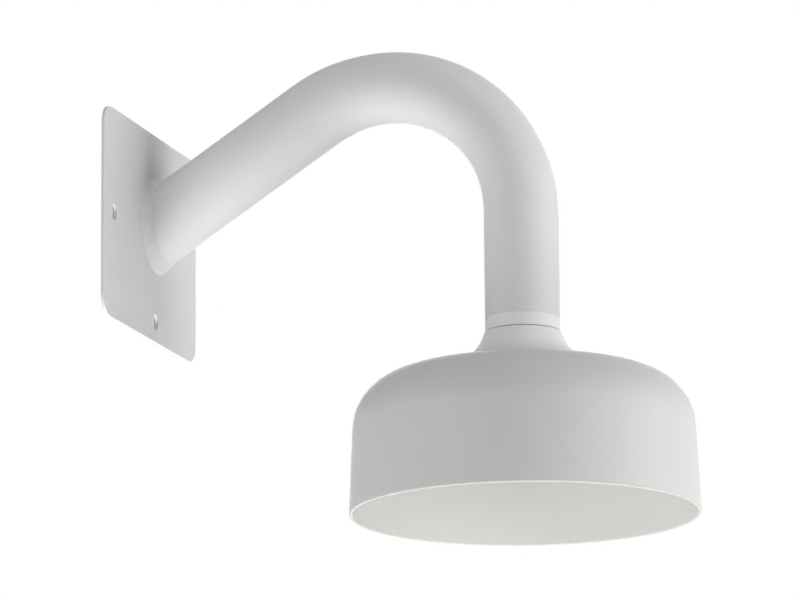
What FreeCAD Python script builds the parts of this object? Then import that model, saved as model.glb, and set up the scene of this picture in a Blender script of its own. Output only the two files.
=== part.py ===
import FreeCAD, Part
import math
import os

from FreeCAD import Vector

# Camera wall bracket: a flat wall plate, a bent tube that rises from it and turns down, and a round
# shade that hangs under the tube and takes a dome camera.
# Millimetres. The wall is the plane X = 0, and the origin is the middle of the cable inlet there.
# +X points out of the wall, +Z is up, and the tube's centre line lies in the plane Y = 0.

# Wall plate. The tube isn't in its middle, and each screw hole has its own place from that middle.
PLATE_WIDTH = 170.0
PLATE_HEIGHT = 139.0
PLATE_THICKNESS = 2.0
PLATE_CORNER_RADIUS = 13.0
PLATE_EDGE_ROUND = 0.4
PLATE_MIDDLE_Y = -13.0
PLATE_MIDDLE_Z = -7.0
SCREW_HOLE_RADIUS = 5.25
SIDE_HOLE_SPACING = 134.0
NEAR_SIDE_HOLE_Z = 0.8
FAR_SIDE_HOLE_Z = 12.5
BOTTOM_HOLE_Y = 8.5
BOTTOM_HOLE_DROP = 56.0
CABLE_INLET_RADIUS = 18.0

# Tube: 1 1/2 inch pipe. Bending flattens it a little in its own plane, which sets in over a share of
# the bend at each end.
TUBE_RADIUS = 24.15
TUBE_WALL = 2.0
ARM_RISE_ANGLE = 31.8
ARM_LENGTH = 129.0
BEND_RADIUS = 91.5
BEND_FLATTENING = 0.85
BEND_FLATTENING_RUN = 0.25
LEG_LENGTH = 69.8
TUBE_END_CHAMFER = 0.3

# Weld around the foot of the tube
WELD_PLATE_LEG = 5.0
WELD_TOP_LEG = 3.0
WELD_BOTTOM_LEG = 9.0
WELD_HOLLOW = 0.3
WELD_EDGE_THICKNESS = 0.02

# Turned bush in the tube's lower end
COLLAR_HEIGHT = 8.6
COLLAR_CHAMFER = 0.4
SPIGOT_LENGTH = 20.0
SPIGOT_CLEARANCE = 0.1
SPIGOT_LEAD_CHAMFER = 1.0

# Hollow nipple, M25 x 1.5
NIPPLE_RADIUS = 12.5
NIPPLE_BORE_RADIUS = 10.0
NIPPLE_GRIP = 8.0
NIPPLE_PROJECTION = 3.0
NIPPLE_CHAMFER = 0.6
THREAD_CLEARANCE = 0.12

# Rubber gasket under the collar
GASKET_THICKNESS = 0.8
GASKET_SETBACK = 1.0
GASKET_BORE_CLEARANCE = 0.3

# Shade: one casting, from the neck down to the rim
NECK_OVERHANG = 0.65
NECK_TOP_ANGLE = 18.0
NECK_FLARE_RADIUS = 36.0
CROWN_THICKNESS = 3.5
CROWN_BORE_CLEARANCE = 0.3
TOP_SLOPE_ANGLE = 7.0
SHOULDER_RADIUS = 36.6
RIM_RADIUS = 112.0
RIM_DROP = 127.4
SKIRT_DRAFT_ANGLE = 2.5
SHADE_WALL = 2.4
RIM_EDGE_ROUND = 1.0

# Bosses under the shade's top, for the camera's screws
BOSS_COUNT = 3
BOSS_CIRCLE_RADIUS = 62.0
BOSS_RADIUS = 6.0
BOSS_DROP = 66.0
BOSS_EDGE_ROUND = 0.6
BOSS_HOLE_RADIUS = 2.1
BOSS_HOLE_DEPTH = 14.0
BOSS_FIRST_ANGLE = 90.0

# Washer and lock nut on the nipple, inside the shade
WASHER_RADIUS = 18.0
WASHER_THICKNESS = 1.5
WASHER_BORE_CLEARANCE = 0.3
NUT_ACROSS_FLATS = 30.0
NUT_HEIGHT = 5.0
NUT_CHAMFER_ANGLE = 30.0
NUT_FACE_RADIUS = 14.3

# Directions and heights that the sizes above give
X_AXIS = Vector(1, 0, 0)
SIDE = Vector(0, 1, 0)
Z_AXIS = Vector(0, 0, 1)
BEND_SECTIONS = 17
RISE = math.radians(ARM_RISE_ANGLE)
PLATE_MIDDLE = Vector(0, PLATE_MIDDLE_Y, PLATE_MIDDLE_Z)
TUBE_BORE_RADIUS = TUBE_RADIUS - TUBE_WALL
NECK_RADIUS = TUBE_RADIUS + NECK_OVERHANG
ARM_DIRECTION = Vector(math.cos(RISE), 0, math.sin(RISE))
BEND_NORMAL = Vector(math.sin(RISE), 0, -math.cos(RISE))
ARM_FOOT = X_AXIS * PLATE_THICKNESS
ARM_TOP = ARM_FOOT + ARM_DIRECTION * ARM_LENGTH
BEND_CENTRE = ARM_TOP + BEND_NORMAL * BEND_RADIUS
LEG_TOP = BEND_CENTRE + X_AXIS * BEND_RADIUS
TUBE_END = LEG_TOP - Z_AXIS * LEG_LENGTH
COLLAR_FACE = -COLLAR_HEIGHT
NECK_TOP = COLLAR_FACE - GASKET_THICKNESS
CROWN_FACE = NECK_TOP - CROWN_THICKNESS
WASHER_FACE = CROWN_FACE - WASHER_THICKNESS
NUT_FACE = WASHER_FACE - NUT_HEIGHT
NIPPLE_END = NUT_FACE - NIPPLE_PROJECTION
NIPPLE_TOP = COLLAR_FACE + NIPPLE_GRIP
NIPPLE_HOLE_RADIUS = NIPPLE_RADIUS + THREAD_CLEARANCE


def at_leg(shape):
    """Places a shape made around the Z axis, with the tube's end at Z = 0, under the tube's leg."""
    shape.translate(TUBE_END)
    return shape


def washer_solid(outer_radius, bore_radius, top, bottom):
    """Flat ring around the Z axis between two heights."""
    base = Vector(0, 0, bottom)
    ring = Part.makeCylinder(outer_radius, top - bottom, base)
    return ring.cut(Part.makeCylinder(bore_radius, top - bottom, base))


def revolve(edges):
    """Solid of revolution around the Z axis from a closed outline in the X-Z plane."""
    face = Part.Face(Part.Wire(edges))
    return face.revolve(Vector(0, 0, 0), Z_AXIS, 360)


def line(start, end):
    return Part.makeLine(Vector(start[0], 0, start[1]), Vector(end[0], 0, end[1]))


def arc(start, middle, end):
    points = [Vector(p[0], 0, p[1]) for p in (start, middle, end)]
    return Part.Arc(*points).toShape()


def circular_edges_at(shape, height, radius):
    """Circles of the given radius, around the Z axis, at the given height."""
    found = []
    for edge in shape.Edges:
        curve = edge.Curve
        if not isinstance(curve, Part.Circle):
            continue
        if abs(curve.Radius - radius) < 0.01 and abs(curve.Center.z - height) < 0.01:
            found.append(edge)
    return found


def wall_plate():
    plate = Part.makeBox(PLATE_THICKNESS, PLATE_WIDTH, PLATE_HEIGHT)
    plate.translate(PLATE_MIDDLE - Vector(0, PLATE_WIDTH / 2, PLATE_HEIGHT / 2))
    corners = [e for e in plate.Edges if abs(e.tangentAt(e.FirstParameter).x) > 0.9]
    plate = plate.makeFillet(PLATE_CORNER_RADIUS, corners)
    front = [e for e in plate.Edges if abs(e.BoundBox.XMin - PLATE_THICKNESS) < 0.01]
    plate = plate.makeFillet(PLATE_EDGE_ROUND, front)
    screw_holes = [
        Vector(0, -SIDE_HOLE_SPACING / 2, NEAR_SIDE_HOLE_Z),
        Vector(0, SIDE_HOLE_SPACING / 2, FAR_SIDE_HOLE_Z),
        Vector(0, BOTTOM_HOLE_Y, -BOTTOM_HOLE_DROP),
    ]
    for place in screw_holes:
        plate = plate.cut(Part.makeCylinder(SCREW_HOLE_RADIUS, PLATE_THICKNESS, PLATE_MIDDLE + place, X_AXIS))
    return plate.cut(Part.makeCylinder(CABLE_INLET_RADIUS, PLATE_THICKNESS, Vector(0, 0, 0), X_AXIS))


def bend_section(radius, share):
    """Ellipse across the tube at a share of the bend's turn, flattened in the bend's plane."""
    angle = (math.pi / 2 + RISE) * (1 - share)
    outwards = Vector(math.cos(angle), 0, math.sin(angle))
    centre = BEND_CENTRE + outwards * BEND_RADIUS
    set_in = min(1, min(share, 1 - share) / BEND_FLATTENING_RUN)
    flattening = BEND_FLATTENING * (1 - math.cos(math.pi * set_in)) / 2
    if flattening == 0:
        section = Part.Circle(centre, SIDE.cross(outwards), radius)
        section.XAxis = SIDE
    else:
        section = Part.Ellipse(centre + SIDE * radius, centre + outwards * (radius - flattening), centre)
    return Part.Wire(section.toShape())


def bent_bar(radius):
    """Solid bar along the tube's centre line, from behind the plate's face to the tube's end."""
    run_in = TUBE_RADIUS * math.tan(RISE) + PLATE_THICKNESS
    start = ARM_FOOT - ARM_DIRECTION * run_in
    arm = Part.makeCylinder(radius, ARM_LENGTH + run_in, start, ARM_DIRECTION)
    leg = Part.makeCylinder(radius, LEG_LENGTH, TUBE_END, Z_AXIS)
    sections = [bend_section(radius, i / (BEND_SECTIONS - 1)) for i in range(BEND_SECTIONS)]
    bend = Part.makeLoft(sections, True, False)
    return arm.fuse([bend, leg])


def behind_plate_face():
    """Block that holds everything behind the plate's front face."""
    depth = 4 * TUBE_RADIUS
    side = 8 * TUBE_RADIUS
    block = Part.makeBox(depth, side, side)
    block.translate(ARM_FOOT - Vector(depth, side / 2, side / 2))
    return block


def arm_tube():
    tube = bent_bar(TUBE_RADIUS).cut(bent_bar(TUBE_BORE_RADIUS)).cut(behind_plate_face())
    end = [
        e for e in tube.Edges
        if isinstance(e.Curve, Part.Circle) and abs(e.Curve.Radius - TUBE_RADIUS) < 0.01
        and (e.Curve.Center - TUBE_END).Length < 0.01
    ]
    return tube.makeChamfer(TUBE_END_CHAMFER, end)


def tube_section(distance_top, distance_bottom, growth):
    """Ellipse in which a slanted plane cuts the arm, grown outwards on all sides.

    The two distances are measured from the plate's face along the tube's top and bottom lines.
    """
    up = Vector(-math.sin(RISE), 0, math.cos(RISE))
    foot_slant = TUBE_RADIUS * math.tan(RISE)
    top = ARM_FOOT + up * TUBE_RADIUS + ARM_DIRECTION * (foot_slant + distance_top)
    bottom = ARM_FOOT - up * TUBE_RADIUS + ARM_DIRECTION * (distance_bottom - foot_slant)
    centre = (top + bottom) * 0.5
    long_axis = top - bottom
    half_long = long_axis.Length / 2 + growth
    long_axis.normalize()
    half_side = TUBE_RADIUS + growth
    ellipse = Part.Ellipse(centre + long_axis * half_long, centre + SIDE * half_side, centre)
    return Part.Wire(ellipse.toShape())


def base_weld():
    middle_growth = WELD_PLATE_LEG * WELD_HOLLOW
    sections = [
        tube_section(0, 0, WELD_PLATE_LEG),
        tube_section(WELD_TOP_LEG / 2, WELD_BOTTOM_LEG / 2, middle_growth),
        tube_section(WELD_TOP_LEG, WELD_BOTTOM_LEG, WELD_EDGE_THICKNESS),
    ]
    outside = Part.makeLoft(sections, True, False)
    return outside.cut(bent_bar(TUBE_RADIUS))


def end_bush():
    """Turned bush: a spigot inside the tube, and a collar of the tube's own diameter under it."""
    collar = Part.makeCylinder(TUBE_RADIUS, COLLAR_HEIGHT, Vector(0, 0, COLLAR_FACE))
    top_rim = circular_edges_at(collar, 0, TUBE_RADIUS)
    bottom_rim = circular_edges_at(collar, COLLAR_FACE, TUBE_RADIUS)
    collar = collar.makeChamfer(COLLAR_CHAMFER, top_rim + bottom_rim)
    spigot_radius = TUBE_BORE_RADIUS - SPIGOT_CLEARANCE
    spigot = Part.makeCylinder(spigot_radius, SPIGOT_LENGTH)
    spigot = spigot.makeChamfer(SPIGOT_LEAD_CHAMFER, circular_edges_at(spigot, SPIGOT_LENGTH, spigot_radius))
    bush = collar.fuse(spigot).removeSplitter()
    bore = Part.makeCylinder(NIPPLE_HOLE_RADIUS, COLLAR_HEIGHT + SPIGOT_LENGTH, Vector(0, 0, COLLAR_FACE))
    return at_leg(bush.cut(bore))


def threaded_nipple():
    nipple = Part.makeCylinder(NIPPLE_RADIUS, NIPPLE_TOP - NIPPLE_END, Vector(0, 0, NIPPLE_END))
    top_rim = circular_edges_at(nipple, NIPPLE_TOP, NIPPLE_RADIUS)
    end_rim = circular_edges_at(nipple, NIPPLE_END, NIPPLE_RADIUS)
    nipple = nipple.makeChamfer(NIPPLE_CHAMFER, top_rim + end_rim)
    bore = Part.makeCylinder(NIPPLE_BORE_RADIUS, NIPPLE_TOP - NIPPLE_END, Vector(0, 0, NIPPLE_END))
    return at_leg(nipple.cut(bore))


def neck_gasket():
    outer = TUBE_RADIUS - GASKET_SETBACK
    return at_leg(washer_solid(outer, NIPPLE_RADIUS + GASKET_BORE_CLEARANCE, COLLAR_FACE, NECK_TOP))


def shade_body(wall, top, bottom):
    """Solid bell with the shade's outline moved inwards by the wall, from one height down to another.

    The flare starts at the neck's top, runs out to the sloping top, and the shoulder turns into the skirt.
    """
    flare = NECK_FLARE_RADIUS + wall
    shoulder = SHOULDER_RADIUS - wall
    neck_angle = math.radians(NECK_TOP_ANGLE)
    slope = math.radians(90 - TOP_SLOPE_ANGLE)
    draft = math.radians(SKIRT_DRAFT_ANGLE)
    # centre of the hollow flare, outside the neck
    flare_r = NECK_RADIUS + NECK_FLARE_RADIUS * math.cos(neck_angle)
    flare_z = NECK_TOP + NECK_FLARE_RADIUS * math.sin(neck_angle)
    # centre of the shoulder: its skirt line runs down to the rim, and its top line meets the flare
    flare_end_r = flare_r - NECK_FLARE_RADIUS * math.cos(slope)
    flare_end_z = flare_z - NECK_FLARE_RADIUS * math.sin(slope)
    run = math.cos(draft) * RIM_RADIUS - math.sin(draft) * RIM_DROP - SHOULDER_RADIUS
    level = math.cos(slope) * flare_end_r + math.sin(slope) * flare_end_z - SHOULDER_RADIUS
    # shoulder centre (r, z): r cos(draft) + z sin(draft) = run, and r cos(slope) + z sin(slope) = level
    turn = math.sin(slope - draft)
    shoulder_r = (run * math.sin(slope) - level * math.sin(draft)) / turn
    shoulder_z = (level * math.cos(draft) - run * math.cos(slope)) / turn

    def flare_point(angle):
        return (flare_r - flare * math.cos(angle), flare_z - flare * math.sin(angle))

    def shoulder_point(angle):
        return (shoulder_r + shoulder * math.cos(angle), shoulder_z + shoulder * math.sin(angle))

    first_angle = math.asin((flare_z - top) / flare)
    neck = flare_point(first_angle)
    flare_end = flare_point(slope)
    top_end = shoulder_point(slope)
    skirt_top = shoulder_point(draft)
    skirt_radius = skirt_top[0] + (skirt_top[1] - bottom) * math.tan(draft)
    rim = (skirt_radius, bottom)
    return revolve([
        line((0, top), neck),
        arc(neck, flare_point((first_angle + slope) / 2), flare_end),
        line(flare_end, top_end),
        arc(top_end, shoulder_point((slope + draft) / 2), skirt_top),
        line(skirt_top, rim),
        line(rim, (0, bottom)),
        line((0, bottom), (0, top)),
    ])


def boss_positions():
    for i in range(BOSS_COUNT):
        angle = math.radians(BOSS_FIRST_ANGLE + 360 * i / BOSS_COUNT)
        yield BOSS_CIRCLE_RADIUS * math.cos(angle), BOSS_CIRCLE_RADIUS * math.sin(angle)


def shade():
    outside = shade_body(0, NECK_TOP, -RIM_DROP)
    inside = shade_body(SHADE_WALL, CROWN_FACE, -RIM_DROP)
    shell = outside.cut(inside)
    rim_edges = [
        e for e in shell.Edges
        if isinstance(e.Curve, Part.Circle) and abs(e.Curve.Center.z + RIM_DROP) < 0.01
    ]
    shell = shell.makeFillet(RIM_EDGE_ROUND, rim_edges)
    for x, y in boss_positions():
        foot = Vector(x, y, -BOSS_DROP)
        boss = Part.makeCylinder(BOSS_RADIUS, BOSS_DROP, foot)
        boss = boss.makeFillet(BOSS_EDGE_ROUND, circular_edges_at(boss, -BOSS_DROP, BOSS_RADIUS))
        shell = shell.fuse(boss.common(outside))
    for x, y in boss_positions():
        shell = shell.cut(Part.makeCylinder(BOSS_HOLE_RADIUS, BOSS_HOLE_DEPTH, Vector(x, y, -BOSS_DROP)))
    bore = Part.makeCylinder(
        NIPPLE_RADIUS + CROWN_BORE_CLEARANCE, CROWN_THICKNESS, Vector(0, 0, CROWN_FACE))
    return at_leg(shell.cut(bore))


def shade_washer():
    bore = NIPPLE_RADIUS + WASHER_BORE_CLEARANCE
    return at_leg(washer_solid(WASHER_RADIUS, bore, CROWN_FACE, WASHER_FACE))


def lock_nut():
    corner_radius = NUT_ACROSS_FLATS / 2 / math.cos(math.radians(30))
    turns = [math.radians(60 * i) for i in range(7)]
    corners = [Vector(corner_radius * math.cos(t), corner_radius * math.sin(t), NUT_FACE) for t in turns]
    hexagon = Part.Face(Part.makePolygon(corners)).extrude(Z_AXIS * NUT_HEIGHT)
    drop = (corner_radius - NUT_FACE_RADIUS) * math.tan(math.radians(NUT_CHAMFER_ANGLE))
    turned = revolve([
        line((0, WASHER_FACE), (corner_radius, WASHER_FACE)),
        line((corner_radius, WASHER_FACE), (corner_radius, NUT_FACE + drop)),
        line((corner_radius, NUT_FACE + drop), (NUT_FACE_RADIUS, NUT_FACE)),
        line((NUT_FACE_RADIUS, NUT_FACE), (0, NUT_FACE)),
        line((0, NUT_FACE), (0, WASHER_FACE)),
    ])
    nut = hexagon.common(turned)
    return at_leg(nut.cut(Part.makeCylinder(NIPPLE_HOLE_RADIUS, NUT_HEIGHT, Vector(0, 0, NUT_FACE))))


PARTS = {
    "wall_plate": wall_plate,
    "base_weld": base_weld,
    "arm_tube": arm_tube,
    "end_bush": end_bush,
    "threaded_nipple": threaded_nipple,
    "neck_gasket": neck_gasket,
    "shade": shade,
    "shade_washer": shade_washer,
    "lock_nut": lock_nut,
}

os.makedirs("parts", exist_ok=True)
for name, make in PARTS.items():
    make().exportStep("parts/" + name + ".step")
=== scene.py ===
import math

import bpy
import numpy as np
from mathutils import Matrix, Vector


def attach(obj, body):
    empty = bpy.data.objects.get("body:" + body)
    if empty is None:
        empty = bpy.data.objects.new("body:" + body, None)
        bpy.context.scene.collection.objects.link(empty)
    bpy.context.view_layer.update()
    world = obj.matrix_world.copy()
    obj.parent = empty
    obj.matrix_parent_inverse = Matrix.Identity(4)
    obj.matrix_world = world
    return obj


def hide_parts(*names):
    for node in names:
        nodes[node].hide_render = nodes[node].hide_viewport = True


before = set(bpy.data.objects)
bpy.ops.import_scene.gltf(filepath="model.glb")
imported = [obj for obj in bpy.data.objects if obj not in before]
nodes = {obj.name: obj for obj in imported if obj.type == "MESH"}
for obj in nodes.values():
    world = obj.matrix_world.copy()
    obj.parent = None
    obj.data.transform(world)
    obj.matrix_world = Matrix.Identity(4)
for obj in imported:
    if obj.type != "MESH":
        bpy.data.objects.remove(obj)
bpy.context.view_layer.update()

# A camera wall bracket. Metres. The wall is the plane X = 0, +X points out of it and +Z is up.
# The tube's centre line lies in the plane Y = 0.

# Sizes of the bracket
PLATE_THICKNESS = 0.002
TUBE_RADIUS = 0.02415
ARM_RISE = math.radians(31.8)
ARM_LENGTH = 0.129
BEND_RADIUS = 0.0915
LEG_LENGTH = 0.0698
RIM_DROP = 0.1274
SHADE_WALL = 0.0024
SKIRT_DRAFT = math.radians(2.5)
TOP_SLOPE = math.radians(7.0)
SHOULDER_RADIUS = 0.0366
FLARE_RADIUS = 0.036
# centres of the shade's hollow flare and of its shoulder: radius, and height above the tube's end
FLARE_CENTRE = (0.05904, 0.00173)
SHOULDER_CENTRE = (0.0730, -0.0731)
# radius at which the flare passes into the sloping top
FLARE_END = 0.05465
LEG_X = PLATE_THICKNESS + ARM_LENGTH * math.cos(ARM_RISE) + BEND_RADIUS * (1 + math.sin(ARM_RISE))
TUBE_END_Z = ARM_LENGTH * math.sin(ARM_RISE) - BEND_RADIUS * math.cos(ARM_RISE) - LEG_LENGTH

# Weld around the tube's foot: its reach over the plate, and along the tube at the top and the bottom
WELD_PLATE_LEG = 0.0043
WELD_TOP_LEG = 0.003
WELD_BOTTOM_LEG = 0.009
# shares of its reach over the plate that are added at the top, at the left and at both sides, and
# taken away at the bottom, at the right and at both top and bottom
WELD_MORE_AT_TOP = 0.30
WELD_MORE_AT_LEFT = 0.40
WELD_MORE_AT_SIDES = 0.23
WELD_UNEVENNESS = 0.05
# middle point of its curve: share of the way up the tube, and distance off the tube
WELD_PULL_UP = 0.52
WELD_FULLNESS = 0.0013
WELD_SINK = 0.00004
RIPPLE_PITCH = 0.0029
RIPPLE_HEIGHT = 0.00038
RIPPLE_BOW = 0.9
RIPPLE_WANDER = 0.25
RIPPLE_SWELL = 0.35
RIPPLE_FADE = 0.7
# lump where the bead starts and stops: its angle from the top and its spread, in radians
LUMP_HEIGHT = 0.0007
LUMP_ANGLE = -0.30
LUMP_SPREAD = 0.07

# Hollow nipple, M25 x 1.5
NIPPLE_TOP = -0.0006
NIPPLE_END = -0.0224
NIPPLE_RADIUS = 0.0125
NIPPLE_BORE_RADIUS = 0.010
THREAD_PITCH = 0.0015
THREAD_DEPTH = 0.00092
# the triangle wave is stretched by the first, lowered by the second and cut at 0 and 1: narrow flats
THREAD_STRETCH = 1.18
THREAD_DROP = 0.09
NIPPLE_CHAMFER = 0.0009
BORE_CHAMFER = 0.0004

# Camera: place, direction and lens
CAMERA_PLACE = (1.18678, -3.14495, -0.82000)
CAMERA_AZIMUTH = math.radians(17.9333)
CAMERA_ELEVATION = math.radians(-12.9390)
CAMERA_ROLL = math.radians(-0.4827)
CAMERA_SENSOR = 36.0
CAMERA_LENS = 236.286

# Paint of each piece
TUBE_PAINT = (0.72, 0.72, 0.72)
PLATE_PAINT = (0.67, 0.67, 0.67)
BUSH_PAINT = (0.83, 0.83, 0.83)
SHADE_PAINT = (0.58, 0.58, 0.58)
INSIDE_PAINT = (0.60, 0.596, 0.573)
# the rim's darker tone is painted shade
RIM_PAINTED_SHADE = (0.47, 0.468, 0.456)
# the neck's lighter tone is painted light
NECK_PAINTED_LIGHT = (0.77, 0.77, 0.77)
# heights over the tube's end between which the shade's tone passes into the neck's lighter tone, which is
# painted light
NECK_LIGHT_FROM = -0.034
NECK_LIGHT_TO = -0.016
# half the width of the soft edge between the shade's inner and outer tone, and between its regions
INSIDE_EDGE = 0.0002
REGION_EDGE = 0.0001
# the rim's darker tone, which is painted shade, starts below the first height over the rim and is full
# below the second
RIM_SHADE_FROM = 0.0010
RIM_SHADE_TO = 0.0006

# Powder coat: its noises, in clouds to the metre; the tones that its clouds lie between, outside and
# inside the shade; its least roughness and what its noises add to that; its shine; and the height of its
# relief
COAT_CLOUDS = 14.0
COAT_SPECKLE = 2600.0
COAT_PEEL = 620.0
COAT_GRAIN = 3400.0
COAT_GRAIN_SHARE = 0.35
COAT_TONES = (0.975, 1.02)
INSIDE_TONES = (0.98, 1.01)
COAT_ROUGHNESS = 0.46
COAT_CLOUDS_ROUGHEN = 0.08
COAT_SPECKLE_ROUGHENS = 0.04
COAT_SHINE = 0.2
COAT_RELIEF = 0.000035

# Zinc plate, in the same terms. It is warm where its clouds pass from the first value to the second.
ZINC = (0.62, 0.62, 0.60)
ZINC_COOL_TONE = 0.94
ZINC_WARM = (0.66, 0.64, 0.58)
ZINC_WARM_FROM = 0.35
ZINC_WARM_TO = 0.7
ZINC_CLOUDS = 90.0
ZINC_MARKS = 5200.0
ZINC_ROUGHNESS = 0.24
ZINC_CLOUDS_ROUGHEN = 0.16
ZINC_MARKS_ROUGHEN = 0.10
ZINC_RELIEF = 0.000012

# Rubber, in the same terms
RUBBER = (0.24, 0.24, 0.24)
RUBBER_TONES = (0.85, 1.15)
RUBBER_DUST = 240.0
RUBBER_GRAIN = 1900.0
RUBBER_ROUGHNESS = 0.66
RUBBER_DUST_ROUGHENS = 0.12
RUBBER_RELIEF = 0.00003

# Stage: the floor's height, half its width, and the share of plain white that the camera sees in it
FLOOR_Z = -1.25
FLOOR_REACH = 40.0
FLOOR_GLOW = 0.8
FLOOR_CLOUDS = 1.3
# patch of wall just behind the plate, inside its outline: its X, then left, right, low and high
WALL_X = -0.0006
WALL_PATCH = (-0.094, 0.068, -0.0725, 0.0585)
WALL_CLOUDS = 9.0
# darkest and lightest grey of both, and their roughness
PALE_LOW = (0.82, 0.82, 0.82)
PALE_HIGH = (0.86, 0.86, 0.86)
PALE_ROUGHNESS = 0.8


def grid_mesh(name, points):
    """Mesh object from an array of points, rows by columns by 3.

    Each face joins a point to the next in its row and its column, and both close on themselves.
    """
    rows, columns = points.shape[:2]
    row = np.arange(rows)
    row_next = (row + 1) % rows
    column = np.arange(columns)
    column_next = (column + 1) % columns
    corners = [
        row[:, None] * columns + column,
        row[:, None] * columns + column_next,
        row_next[:, None] * columns + column_next,
        row_next[:, None] * columns + column,
    ]
    faces = np.stack(corners, axis=-1).reshape(-1, 4)
    mesh = bpy.data.meshes.new(name)
    mesh.vertices.add(rows * columns)
    mesh.vertices.foreach_set("co", points.reshape(-1).astype(np.float32))
    mesh.loops.add(faces.size)
    mesh.loops.foreach_set("vertex_index", faces.reshape(-1).astype(np.int32))
    mesh.polygons.add(len(faces))
    mesh.polygons.foreach_set("loop_start", np.arange(0, faces.size, 4, dtype=np.int32))
    mesh.polygons.foreach_set("use_smooth", np.ones(len(faces), dtype=bool))
    mesh.update(calc_edges=True)
    piece = bpy.data.objects.new(name, mesh)
    bpy.context.scene.collection.objects.link(piece)
    return piece


def waves(angle, seed, terms, first):
    """Uneven closed curve between about -1 and 1: a sum of cosines of whole multiples of the angle."""
    random = np.random.default_rng(seed)
    orders = np.arange(first, first + terms)
    phases = random.uniform(0, 2 * np.pi, terms)
    sizes = random.uniform(0.4, 1.0, terms) / terms ** 0.5
    return (sizes * np.cos(angle[..., None] * orders + phases)).sum(-1)


def weld_bead():
    """Ring of weld between the wall plate and the tube's slanted foot.

    First parameter: the angle phi around the tube's axis, 0 at its top. Second: the way around the
    bead's section. The face runs from a toe on the plate to a toe on the tube, along the quadratic
    curve (1-t)^2 A + 2t(1-t) K + t^2 B, whose middle point K lies close over the tube, so that the face
    rises steeply from the plate and runs out into the tube. Along its outward normal stand ripples, the
    absolute sine of the length along the bead plus a bow that grows with the square of the distance from
    its middle, and one lump where the bead starts and stops. The section closes along the tube and the
    plate, just under their surfaces.
    """
    around, across = 900, 34
    phi = np.linspace(0, 2 * np.pi, around, endpoint=False)
    axis = np.array([math.cos(ARM_RISE), 0, math.sin(ARM_RISE)])
    top = np.array([-math.sin(ARM_RISE), 0, math.cos(ARM_RISE)])
    side = np.array([0, 1.0, 0])
    out = np.cos(phi)[:, None] * top + np.sin(phi)[:, None] * side
    foot = np.array([PLATE_THICKNESS, 0, 0])
    slant = math.tan(ARM_RISE) * np.cos(phi)
    leg = (WELD_TOP_LEG + WELD_BOTTOM_LEG) / 2 + (WELD_TOP_LEG - WELD_BOTTOM_LEG) / 2 * np.cos(phi)
    leg = leg * (1 + WELD_UNEVENNESS * waves(phi, seed=3, terms=9, first=2))
    inner = TUBE_RADIUS - WELD_SINK
    root = foot + inner * out + (inner * slant)[:, None] * axis
    tube_toe = foot + inner * out + (TUBE_RADIUS * slant + leg)[:, None] * axis
    # toe on the plate: the foot's ellipse grown on all sides, most at the left and least at the bottom
    long_radius = TUBE_RADIUS / math.cos(ARM_RISE)
    plate_angle = np.arctan2(root[:, 1] / TUBE_RADIUS, root[:, 2] / long_radius)
    more = WELD_MORE_AT_TOP * np.cos(plate_angle) - WELD_MORE_AT_LEFT * np.sin(plate_angle)
    more = more - WELD_MORE_AT_SIDES * np.cos(2 * plate_angle)
    plate_leg = WELD_PLATE_LEG * (1 + more + WELD_UNEVENNESS * waves(phi, seed=5, terms=11, first=2))
    plate_toe = np.stack([
        np.full(around, PLATE_THICKNESS - WELD_SINK),
        (TUBE_RADIUS + plate_leg) * np.sin(plate_angle),
        (long_radius + plate_leg) * np.cos(plate_angle),
    ], axis=-1)
    root[:, 0] = PLATE_THICKNESS - WELD_SINK
    middle = (plate_toe + tube_toe) / 2
    pull = root + (tube_toe - root) * WELD_PULL_UP + out * WELD_FULLNESS
    t = np.linspace(0, 1, across)[None, :, None]
    face = (1 - t) ** 2 * plate_toe[:, None] + 2 * t * (1 - t) * pull[:, None]
    face = face + t ** 2 * tube_toe[:, None]
    along = np.roll(face, -1, axis=0) - np.roll(face, 1, axis=0)
    over = np.gradient(face, axis=1)
    normal = np.cross(over, along)
    normal /= np.linalg.norm(normal, axis=-1, keepdims=True)
    step = np.linalg.norm(np.roll(middle, -1, axis=0) - middle, axis=-1)
    length = np.cumsum(step) - step
    count = round(step.sum() / RIPPLE_PITCH)
    turn = (length / step.sum() * count)[:, None]
    bow = RIPPLE_BOW * (2 * t[..., 0] - 1) ** 2
    wander = RIPPLE_WANDER * waves(phi, seed=7, terms=20, first=5)[:, None]
    ripple = np.abs(np.sin(np.pi * (turn + bow + wander)))
    swell = 1 + RIPPLE_SWELL * waves(phi, seed=11, terms=14, first=3)[:, None]
    fade = np.sin(np.pi * t[..., 0]) ** RIPPLE_FADE
    distance = np.angle(np.exp(1j * (phi - LUMP_ANGLE)))
    lump = LUMP_HEIGHT * np.exp(-(distance / LUMP_SPREAD) ** 2)[:, None]
    height = fade * (RIPPLE_HEIGHT * ripple * swell + lump)
    face = face + normal * height[..., None]
    back = np.linspace(0, 1, 5)[None, 1:, None]
    under_tube = tube_toe[:, None] + (root - tube_toe)[:, None] * back
    on_plate = root[:, None] + (plate_toe - root)[:, None] * back[:, :-1]
    section = np.concatenate([face, under_tube, on_plate], axis=1)
    return grid_mesh("weld_bead", section)


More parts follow.
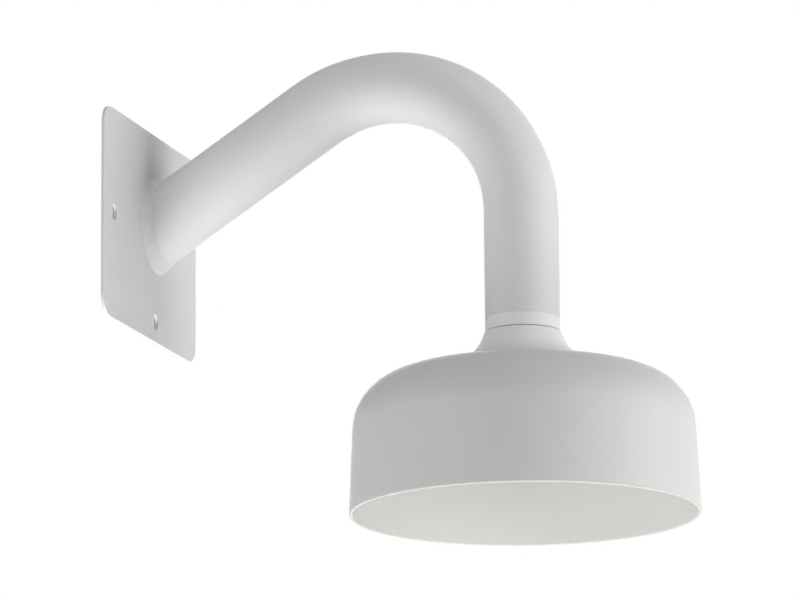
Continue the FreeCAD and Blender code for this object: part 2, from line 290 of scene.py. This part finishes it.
def nipple_thread():
    """Hollow nipple with a screw thread outside and a plain bore.

    First parameter: the way round the section. Second: the angle around the axis. Outside, the radius
    falls below its largest by the thread's depth times a triangle wave of height over pitch minus
    angle over a full turn, and a cone cuts it at both ends.
    """
    columns, rows = 120, 210
    angle = np.linspace(0, 2 * np.pi, columns, endpoint=False)[None, :]
    height = np.linspace(NIPPLE_END, NIPPLE_TOP, rows)[:, None]
    phase = (height / THREAD_PITCH - angle / (2 * np.pi)) % 1.0
    valley = np.clip(np.abs(2 * phase - 1) * THREAD_STRETCH - THREAD_DROP, 0, 1)
    radius = NIPPLE_RADIUS - THREAD_DEPTH * valley
    end_gap = np.minimum(height - NIPPLE_END, NIPPLE_TOP - height)
    radius = np.minimum(radius, NIPPLE_RADIUS - NIPPLE_CHAMFER + end_gap)
    height = np.broadcast_to(height, radius.shape)
    bore_edge = np.array([NIPPLE_TOP, NIPPLE_TOP - BORE_CHAMFER, NIPPLE_END + BORE_CHAMFER, NIPPLE_END])
    bore_edge = bore_edge[:, None]
    bore_radius = NIPPLE_BORE_RADIUS + np.array([BORE_CHAMFER, 0, 0, BORE_CHAMFER])[:, None]
    radius = np.concatenate([radius, np.broadcast_to(bore_radius, (4, columns))])
    height = np.concatenate([height, np.broadcast_to(bore_edge, (4, columns))])
    points = np.stack([
        LEG_X + radius * np.cos(angle),
        radius * np.sin(angle),
        TUBE_END_Z + height,
    ], axis=-1)
    return grid_mesh("nipple_thread", points[::-1])


class Value:
    """A shader socket. Arithmetic on it adds Math nodes."""

    def __init__(self, tree, socket):
        self.tree = tree
        self.socket = socket

    def node(self, kind, settings=None, inputs=None, output=0):
        """Adds a node: its settings first, then values or links for its sockets, by name or number."""
        made = self.tree.nodes.new(kind)
        for name, value in (settings or {}).items():
            setattr(made, name, value)
        for name, value in (inputs or {}).items():
            if isinstance(value, Value):
                self.tree.links.new(value.socket, made.inputs[name])
            else:
                made.inputs[name].default_value = value
        return Value(self.tree, made.outputs[output])

    def math(self, operation, first, second=0.0):
        return self.node("ShaderNodeMath", {"operation": operation}, {0: first, 1: second})

    def __add__(self, other):
        return self.math("ADD", self, other)

    def __radd__(self, other):
        return self.math("ADD", other, self)

    def __sub__(self, other):
        return self.math("SUBTRACT", self, other)

    def __rsub__(self, other):
        return self.math("SUBTRACT", other, self)

    def __mul__(self, other):
        return self.math("MULTIPLY", self, other)

    def __rmul__(self, other):
        return self.math("MULTIPLY", other, self)

    def __pow__(self, other):
        return self.math("POWER", self, other)

    def step(self, low, high):
        """Smooth rise from 0 at low to 1 at high."""
        return self.node(
            "ShaderNodeMapRange", {"interpolation_type": "SMOOTHSTEP"},
            {"Value": self, "From Min": low, "From Max": high})

    def noise(self, scale, detail):
        """Cloudy noise, 0 to 1, at this many clouds to the metre. The socket is a place."""
        return self.node("ShaderNodeTexNoise", {}, {"Vector": self, "Scale": scale, "Detail": detail})

    def parts(self):
        """The three numbers of a place."""
        split = self.node("ShaderNodeSeparateXYZ", {}, {0: self})
        outputs = split.socket.node.outputs
        return [Value(self.tree, outputs[i]) for i in range(3)]

    def blend(self, first, second):
        """Colour between the two, by this socket from 0 to 1."""
        return self.node(
            "ShaderNodeMix", {"data_type": "RGBA", "clamp_factor": True},
            {0: self, 6: colour(first), 7: colour(second)}, 2)


def colour(value):
    """A socket as it is, and a plain colour with its alpha."""
    return value if isinstance(value, Value) else (*value, 1.0)


def shaded(value, amount):
    """The colour made lighter or darker by this factor."""
    return tuple(channel * amount for channel in value)


def cloudy(clouds, tint, tones):
    """The tint times the first tone where the clouds are 0, and times the second where they are 1."""
    return clouds.blend(shaded(tint, tones[0]), shaded(tint, tones[1]))


def new_material(name):
    """Empty material: its place socket, in the object's own coordinates, and its surface shader."""
    material = bpy.data.materials.new(name)
    material.use_nodes = True
    tree = material.node_tree
    tree.nodes.clear()
    output = tree.nodes.new("ShaderNodeOutputMaterial")
    surface = tree.nodes.new("ShaderNodeBsdfPrincipled")
    tree.links.new(surface.outputs[0], output.inputs[0])
    place = tree.nodes.new("ShaderNodeTexCoord")
    return material, Value(tree, place.outputs["Object"]), surface


def connect(surface, name, value):
    value.tree.links.new(value.socket, surface.inputs[name])


def bump(height, distance):
    """Normal from a height field that is worth this distance, in metres, at 1."""
    return height.node("ShaderNodeBump", {}, {"Height": height, "Distance": distance, "Strength": 1.0})


def inside_shade(place):
    """Distance from the middle of the shade's wall, above 0 outside it and below 0 inside.

    Under the neck it is measured from the hollow flare's centre. Further out it is the distance past the
    skirt's line or the sloping top's line, and between them the distance from the shoulder's centre.
    """
    x, y, z = place.parts()
    x = x - LEG_X
    radius = (x * x + y * y) ** 0.5
    height = z - TUBE_END_Z
    along, up = radius - FLARE_CENTRE[0], height - FLARE_CENTRE[1]
    flare = FLARE_RADIUS + SHADE_WALL / 2 - (along * along + up * up) ** 0.5
    along, up = radius - SHOULDER_CENTRE[0], height - SHOULDER_CENTRE[1]
    past_skirt = math.cos(SKIRT_DRAFT) * along + math.sin(SKIRT_DRAFT) * up
    past_top = math.sin(TOP_SLOPE) * along + math.cos(TOP_SLOPE) * up
    above_skirt = math.cos(SKIRT_DRAFT) * up - math.sin(SKIRT_DRAFT) * along
    beyond_top = math.cos(TOP_SLOPE) * along - math.sin(TOP_SLOPE) * up
    above, beyond = [part.step(-REGION_EDGE, REGION_EDGE) for part in (above_skirt, beyond_top)]
    at_shoulder = above * beyond
    from_lines = past_skirt.math("MAXIMUM", past_skirt, past_top)
    from_centre = (along * along + up * up) ** 0.5
    shoulder = at_shoulder * from_centre + (1 - at_shoulder) * from_lines
    shoulder = shoulder - (SHOULDER_RADIUS - SHADE_WALL / 2)
    outer_part = radius.step(FLARE_END - REGION_EDGE, FLARE_END + REGION_EDGE)
    return outer_part * shoulder + (1 - outer_part) * flare


def paint(name, tint, cast=False):
    """Satin powder coat: slight orange peel, a fine grain, and very faint clouds in tone and gloss.

    On the casting the coat is a little warmer inside, warmer on the rim and darker there as painted
    shade, and lighter around the neck as painted light.
    """
    material, place, surface = new_material(name)
    clouds = place.noise(COAT_CLOUDS, detail=3.0)
    speckle = place.noise(COAT_SPECKLE, detail=1.0)
    tone = cloudy(clouds, tint, COAT_TONES)
    if cast:
        height = place.parts()[2] - TUBE_END_Z
        # painted light: the neck is made lighter than the rest of the casting
        neck = height.step(NECK_LIGHT_FROM, NECK_LIGHT_TO)
        tone = neck.blend(tone, cloudy(clouds, NECK_PAINTED_LIGHT, COAT_TONES))
        within = inside_shade(place).step(INSIDE_EDGE, -INSIDE_EDGE)
        tone = within.blend(tone, cloudy(clouds, INSIDE_PAINT, INSIDE_TONES))
        # painted shade: the rim is made darker than the rest of the casting
        rim = (height + RIM_DROP).step(RIM_SHADE_FROM, RIM_SHADE_TO)
        tone = rim.blend(tone, RIM_PAINTED_SHADE)
    connect(surface, "Base Color", tone)
    roughness = COAT_ROUGHNESS + COAT_CLOUDS_ROUGHEN * clouds + COAT_SPECKLE_ROUGHENS * speckle
    connect(surface, "Roughness", roughness)
    surface.inputs["Specular IOR Level"].default_value = COAT_SHINE
    peel = place.noise(COAT_PEEL, detail=2.0)
    grain = place.noise(COAT_GRAIN, detail=1.0)
    connect(surface, "Normal", bump(peel + COAT_GRAIN_SHARE * grain, COAT_RELIEF))
    return material


def zinc_plate():
    """Bright zinc plate over turned steel: fine marks, cloudy gloss and a warm and cool sheen."""
    material, place, surface = new_material("zinc_plate")
    clouds = place.noise(ZINC_CLOUDS, detail=3.0)
    x, y, z = place.parts()
    x = x - LEG_X
    radius = (x * x + y * y) ** 0.5
    rings = radius.node("ShaderNodeCombineXYZ", {}, {0: radius, 1: z, 2: 0.0})
    marks = rings.noise(ZINC_MARKS, detail=2.0)
    warmth = clouds.step(ZINC_WARM_FROM, ZINC_WARM_TO)
    connect(surface, "Base Color", warmth.blend(shaded(ZINC, ZINC_COOL_TONE), ZINC_WARM))
    roughness = ZINC_ROUGHNESS + ZINC_CLOUDS_ROUGHEN * clouds + ZINC_MARKS_ROUGHEN * marks
    connect(surface, "Roughness", roughness)
    connect(surface, "Normal", bump(marks, ZINC_RELIEF))
    surface.inputs["Metallic"].default_value = 1.0
    return material


def matt_rubber():
    """Dark grey sheet rubber, faintly dusty, with a fine grain."""
    material, place, surface = new_material("matt_rubber")
    dust = place.noise(RUBBER_DUST, detail=4.0)
    connect(surface, "Base Color", cloudy(dust, RUBBER, RUBBER_TONES))
    connect(surface, "Roughness", RUBBER_ROUGHNESS + RUBBER_DUST_ROUGHENS * dust)
    connect(surface, "Normal", bump(place.noise(RUBBER_GRAIN, detail=2.0), RUBBER_RELIEF))
    return material


def direct_rays(tree):
    """1 for what the camera sees itself, in a reflection or through glass, otherwise 0."""
    rays = tree.nodes.new("ShaderNodeLightPath").outputs
    camera, glossy, glass = [
        Value(tree, rays[name]) for name in ("Is Camera Ray", "Is Glossy Ray", "Is Transmission Ray")]
    return camera.math("MAXIMUM", camera, glossy.math("MAXIMUM", glossy, glass))


def pale_backing(name, scale, glow):
    """Pale matt grey with faint clouds, and seen with a share of plain white.

    It shows from its front only, so that a view from behind or underneath sees the bracket.
    """
    material, place, surface = new_material(name)
    tree = place.tree
    clouds = place.noise(scale, detail=3.0)
    connect(surface, "Base Color", clouds.blend(PALE_LOW, PALE_HIGH))
    surface.inputs["Roughness"].default_value = PALE_ROUGHNESS
    underside = Value(tree, tree.nodes.new("ShaderNodeNewGeometry").outputs["Backfacing"])
    clear = underside.node("ShaderNodeBsdfTransparent")
    lit = Value(tree, surface.outputs[0])
    white = lit.node("ShaderNodeEmission", {}, {"Color": (1, 1, 1, 1), "Strength": 1.0})
    lit = lit.node("ShaderNodeMixShader", {}, {0: glow * direct_rays(tree), 1: lit, 2: white})
    shown = underside.node("ShaderNodeMixShader", {}, {0: underside, 1: lit, 2: clear})
    output = next(n for n in tree.nodes if n.type == "OUTPUT_MATERIAL")
    tree.links.new(shown.socket, output.inputs[0])
    return material


def dress(piece, material):
    """The material in the first slot of the piece, and in any other slot that it has."""
    slots = piece.data.materials
    if not slots:
        slots.append(material)
    for i in range(len(slots)):
        slots[i] = material


# Direction from the bracket towards each lamp, its distance, its size and its strength in watts
LAMPS = [
    ("under_middle", (0.0, 0.0, -1.0), 1.0, 0.9, 2.1),
    ("under_right", (0.6, 0.0, -1.0), 1.0, 0.9, 6.4),
    ("under_left", (-0.6, 0.0, -1.0), 1.0, 0.9, 5.1),
    ("front_low", (-0.2, -1.0, -0.55), 1.5, 1.0, 5.5),
    ("over", (0.2, -0.2, 1.0), 1.7, 1.0, 9.8),
    ("right_high", (1.0, 0.25, 0.35), 1.7, 1.0, 13.4),
    ("front_left", (-0.35, -0.95, -0.15), 1.7, 1.0, 8.2),
    ("behind", (-0.30, 0.93, 0.25), 1.7, 1.0, 12.0),
    ("right_near", (1.0, 0.0, -0.25), 0.9, 0.35, 2.0),
]
LAMP_TARGET = (0.19, 0.0, -0.06)
# strength of the world's even light
AMBIENT = 0.066


def stage_sheet(name, corners, material):
    """Flat four-cornered sheet of the studio, one-sided, with its front where its corners turn left."""
    mesh = bpy.data.meshes.new(name)
    mesh.from_pydata(corners, [], [(0, 1, 2, 3)])
    sheet = bpy.data.objects.new(name, mesh)
    bpy.context.scene.collection.objects.link(sheet)
    dress(sheet, material)
    return sheet


def studio():
    """Floor, a patch of wall behind the plate's holes, soft lamps that stay out of sight, and the world.

    The world is plain white to the camera and to reflections, and otherwise gives a faint even light.
    """
    floor = [(x * FLOOR_REACH, y * FLOOR_REACH, FLOOR_Z) for x, y in ((-1, -1), (1, -1), (1, 1), (-1, 1))]
    stage_sheet("floor", floor, pale_backing("pale_floor", FLOOR_CLOUDS, FLOOR_GLOW))
    left, right, low, high = WALL_PATCH
    wall = [(WALL_X, y, z) for y, z in ((left, low), (right, low), (right, high), (left, high))]
    patch = stage_sheet("wall_patch", wall, pale_backing("pale_wall", WALL_CLOUDS, 0.0))
    patch.visible_shadow = False
    patch.visible_diffuse = False
    target = Vector(LAMP_TARGET)
    for name, direction, distance, width, watts in LAMPS:
        lamp = bpy.data.lights.new(name, "AREA")
        lamp.shape = "DISK"
        lamp.size = width
        lamp.energy = watts
        holder = bpy.data.objects.new(name, lamp)
        holder.location = target + Vector(direction).normalized() * distance
        holder.rotation_mode = "QUATERNION"
        holder.rotation_quaternion = (holder.location - target).to_track_quat("Z", "Y")
        holder.visible_camera = False
        bpy.context.scene.collection.objects.link(holder)
    world = bpy.data.worlds.new("studio")
    world.use_nodes = True
    bpy.context.scene.world = world
    tree = world.node_tree
    tree.nodes.clear()
    direct = direct_rays(tree)
    strength = AMBIENT + (1 - AMBIENT) * direct
    glow = direct.node("ShaderNodeBackground", {}, {"Color": (1, 1, 1, 1), "Strength": strength})
    output = tree.nodes.new("ShaderNodeOutputWorld")
    tree.links.new(glow.socket, output.inputs[0])


def add_camera():
    """Camera at its fitted place. Its axes follow from the azimuth, elevation and roll."""
    a, e, roll = CAMERA_AZIMUTH, CAMERA_ELEVATION, CAMERA_ROLL
    back = Vector((math.sin(a) * math.cos(e), -math.cos(a) * math.cos(e), math.sin(e)))
    right = Vector((math.cos(a), math.sin(a), 0))
    up = back.cross(right)
    turned_right = math.cos(roll) * right + math.sin(roll) * up
    turned_up = math.cos(roll) * up - math.sin(roll) * right
    lens = bpy.data.cameras.new("camera")
    lens.sensor_width = CAMERA_SENSOR
    lens.lens = CAMERA_LENS
    camera = bpy.data.objects.new("camera", lens)
    turn = Matrix((turned_right, turned_up, back)).transposed()
    camera.matrix_world = Matrix.Translation(CAMERA_PLACE) @ turn.to_4x4()
    bpy.context.scene.collection.objects.link(camera)
    bpy.context.scene.camera = camera


add_camera()
studio()

tube_paint = paint("satin_paint_on_tube", TUBE_PAINT)
plate_paint = paint("satin_paint_on_plate", PLATE_PAINT)
bush_paint = paint("satin_paint_on_bush", BUSH_PAINT)
shade_paint = paint("satin_paint_on_casting", SHADE_PAINT, cast=True)
zinc = zinc_plate()
rubber = matt_rubber()

dress(nodes["wall_plate"], plate_paint)
dress(nodes["end_bush"], bush_paint)
for name in ("arm_tube", "base_weld"):
    dress(nodes[name], tube_paint)
dress(nodes["shade"], shade_paint)
for name in ("threaded_nipple", "shade_washer", "lock_nut"):
    dress(nodes[name], zinc)
dress(nodes["neck_gasket"], rubber)

bead = weld_bead()
dress(bead, tube_paint)
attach(bead, "root")
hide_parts("base_weld")

thread = nipple_thread()
dress(thread, zinc)
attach(thread, "root")
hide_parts("threaded_nipple")

bpy.context.scene.view_settings.view_transform = "Standard"
